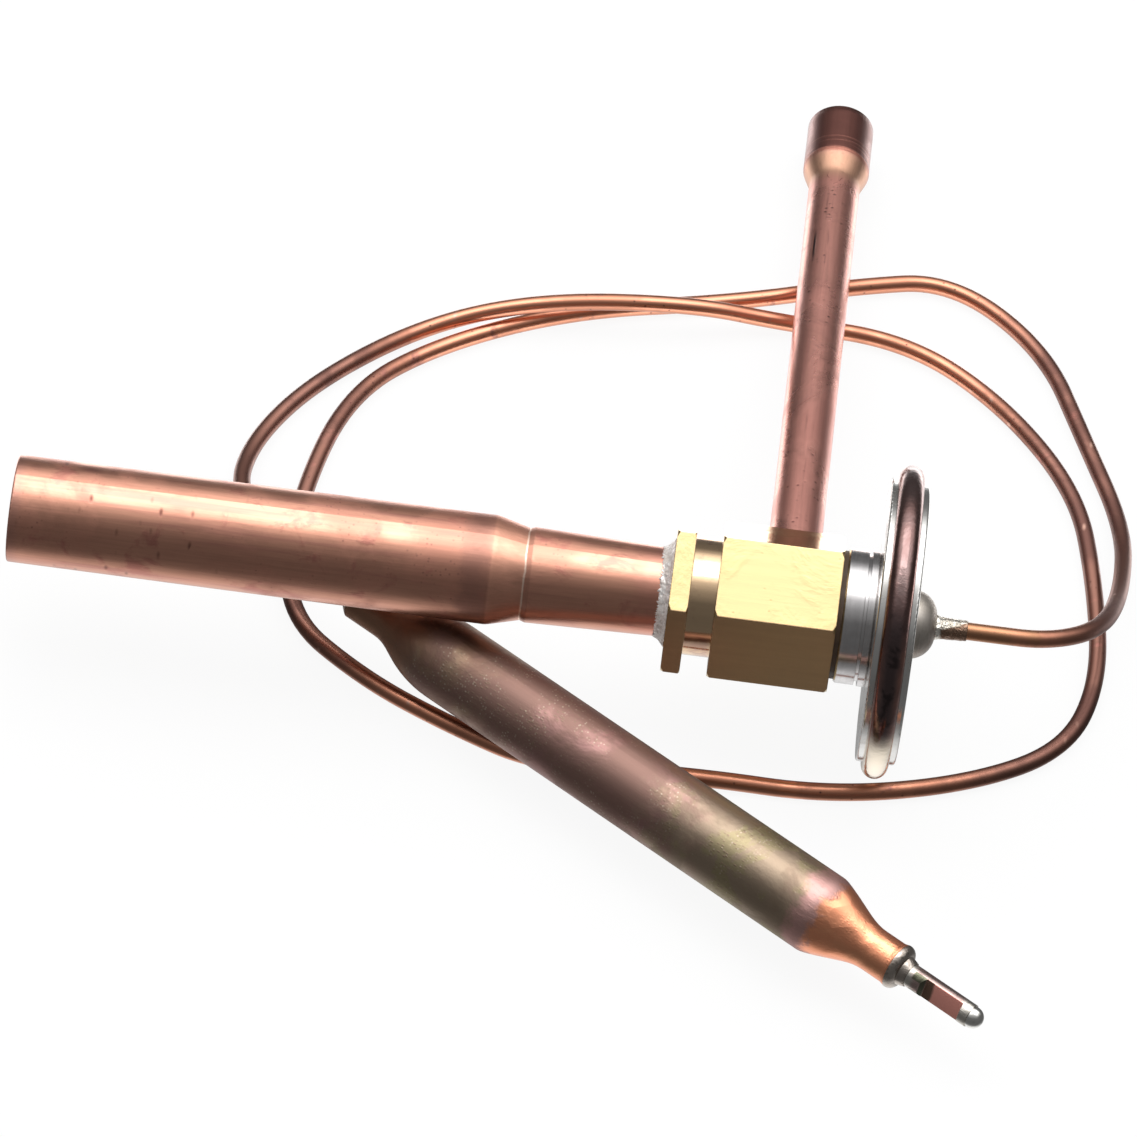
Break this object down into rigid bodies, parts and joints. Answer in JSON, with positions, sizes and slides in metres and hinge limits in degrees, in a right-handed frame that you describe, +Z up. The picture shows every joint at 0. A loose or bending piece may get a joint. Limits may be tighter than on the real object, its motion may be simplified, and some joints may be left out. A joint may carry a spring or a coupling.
{
  "type": "thermostatic expansion valve",
  "caption": "Thermostatic expansion valve: hex brass body with copper solder tubes, diaphragm head, and a sensing bulb on a long capillary loop.",
  "frame": {"origin": "on the surface it lies on, below the middle of the box round the rigid valve, its capillary and bulb left out", "axes": "+X along the valve's axis from the outlet's mouth towards the diaphragm head, +Y towards the inlet's bell, +Z up"},
  "size_m": [0.1996, 0.208, 0.056],
  "materials": {
    "brass": "turned and milled, bright",
    "copper": "drawn copper tube, lightly oxidised, satin",
    "capillary_copper": "drawn copper capillary, oxidised in places",
    "bulb_copper": "heat-tinted copper, satin",
    "stainless": "turned stainless steel, bright",
    "head_rim": "polished weld bead, heat-tinted brown",
    "filler": "silver brazing filler, grainy",
    "solder": "soft solder, satin",
    "solder_bright": "bright solder bead",
    "spring_steel": "spring wire",
    "seal": "dark seal ring"
  },
  "bodies": {
    "valve": {"valve_body": "brass", "outlet_tube": "copper", "inlet_tube": "copper", "outlet_braze": "filler", "inlet_braze": "filler", "inlet_strainer": "stainless", "collar_gasket": "seal", "head_collar": "stainless", "lower_cup": "stainless", "upper_cup": "stainless", "rim_weld": "head_rim", "diaphragm": "stainless", "dome_boss": "stainless", "capillary_braze": "filler", "orifice_seat": "stainless", "spring_retainer": "brass", "superheat_spring": "spring_steel", "bulb_shell": "bulb_copper", "bulb_neck_solder": "solder", "stub_solder": "solder", "charging_stub": "solder", "stub_ball": "solder_bright", "capillary_tube": "capillary_copper"},
    "valve_train": {"valve_pin": "stainless", "pin_carrier": "brass", "push_rod_1": "stainless", "push_rod_2": "stainless", "buffer_plate": "brass"}
  },
  "joints": [
    {"name": "valve_slide", "type": "slide", "parent": "valve", "child": "valve_train", "axis": [-1, 0, 0], "range_m": [0, 0.0008], "stiffness_N_per_m": 6000, "springref_m": -0.004, "deforming": ["superheat_spring", "diaphragm"]}
  ]
}
